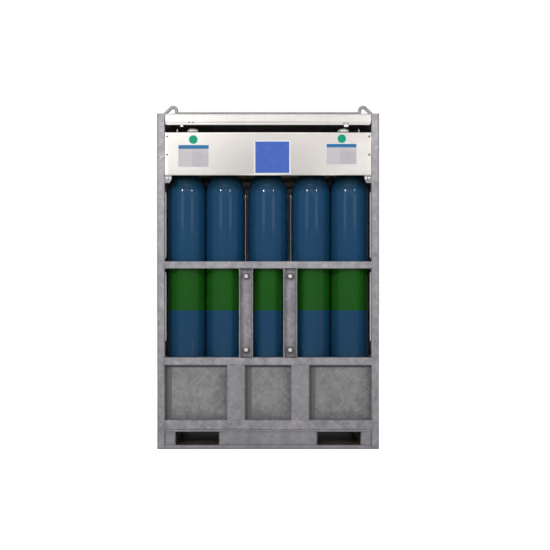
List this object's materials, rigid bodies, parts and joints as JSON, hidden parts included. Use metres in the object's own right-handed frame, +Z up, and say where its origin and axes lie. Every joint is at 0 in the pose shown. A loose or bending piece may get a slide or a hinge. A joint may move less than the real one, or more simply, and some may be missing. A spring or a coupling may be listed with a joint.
{
  "type": "gas_cylinder_bundle",
  "caption": "Gas cylinder bundle: upright cylinders in a galvanised frame with stainless covers, fork pockets, lifting eyes and main valves",
  "frame": {"origin": "on the ground under the middle of the base", "axes": "+X to the right as seen from the front, +Y to the rear, +Z up; the front with the labels' places faces -Y"},
  "size_m": [1.299, 0.787, 2.0145],
  "materials": {
    "galvanised_steel": "hot-dip galvanised, mottled grey",
    "stainless_sheet": "brushed stainless sheet",
    "zinc_plated_steel": "bright zinc",
    "stainless_fittings": "drawn stainless",
    "black_rubber": "moulded black",
    "valve_brass": "machined brass",
    "cast_aluminium": "as cast, tumbled",
    "cylinder_paint": "gloss dark blue with a green band"
  },
  "bodies": {
    "bundle": {"post_front_left": "galvanised_steel", "post_front_right": "galvanised_steel", "post_rear_left": "galvanised_steel", "post_rear_right": "galvanised_steel", "base_beam_front": "galvanised_steel", "base_beam_rear": "galvanised_steel", "base_beams_side": "galvanised_steel", "fork_pocket_left": "galvanised_steel", "fork_pocket_right": "galvanised_steel", "floor_plate": "galvanised_steel", "front_rails": "galvanised_steel", "rear_rails": "galvanised_steel", "side_rails": "galvanised_steel", "mullions": "galvanised_steel", "front_kick_sheet": "galvanised_steel", "rear_kick_sheet": "galvanised_steel", "side_kick_sheets": "galvanised_steel", "side_panels": "galvanised_steel", "clamp_channels": "galvanised_steel", "rear_uprights": "galvanised_steel", "top_bars": "galvanised_steel", "lifting_eye_front_left": "galvanised_steel", "lifting_eye_front_right": "galvanised_steel", "lifting_eye_rear_left": "galvanised_steel", "lifting_eye_rear_right": "galvanised_steel", "cover_brackets": "galvanised_steel", "roof_cover": "stainless_sheet", "front_cover": "stainless_sheet", "rear_cover": "stainless_sheet", "side_covers": "stainless_sheet", "tie_rods": "zinc_plated_steel", "tie_rod_nuts": "zinc_plated_steel", "tie_rod_washers": "zinc_plated_steel", "cover_screws": "stainless_fittings", "pigtails": "stainless_fittings", "manifold_header": "stainless_fittings", "clamp_blocks": "black_rubber", "neck_connectors": "valve_brass", "valve_body_left": "valve_brass", "valve_body_right": "valve_brass", "gland_nuts": "valve_brass", "cylinder_front_1": "cylinder_paint", "cylinder_front_2": "cylinder_paint", "cylinder_front_3": "cylinder_paint", "cylinder_front_4": "cylinder_paint", "cylinder_front_5": "cylinder_paint", "cylinder_middle_1": "cylinder_paint", "cylinder_middle_2": "cylinder_paint", "cylinder_middle_3": "cylinder_paint", "cylinder_middle_4": "cylinder_paint", "cylinder_middle_5": "cylinder_paint", "cylinder_rear_1": "cylinder_paint", "cylinder_rear_2": "cylinder_paint", "cylinder_rear_3": "cylinder_paint", "cylinder_rear_4": "cylinder_paint", "cylinder_rear_5": "cylinder_paint"},
    "valve_left": {"spindle_left": "stainless_fittings", "handwheel_left": "cast_aluminium"},
    "valve_right": {"spindle_right": "stainless_fittings", "handwheel_right": "cast_aluminium"}
  },
  "joints": [
    {"name": "handwheel_left_turn", "type": "hinge", "parent": "bundle", "child": "valve_left", "pos_m": [-0.446, -0.3215, 1.859], "axis": [0, 0, 1], "range_deg": [0, 900]},
    {"name": "handwheel_right_turn", "type": "hinge", "parent": "bundle", "child": "valve_right", "pos_m": [0.446, -0.3215, 1.859], "axis": [0, 0, 1], "range_deg": [0, 900]}
  ]
}
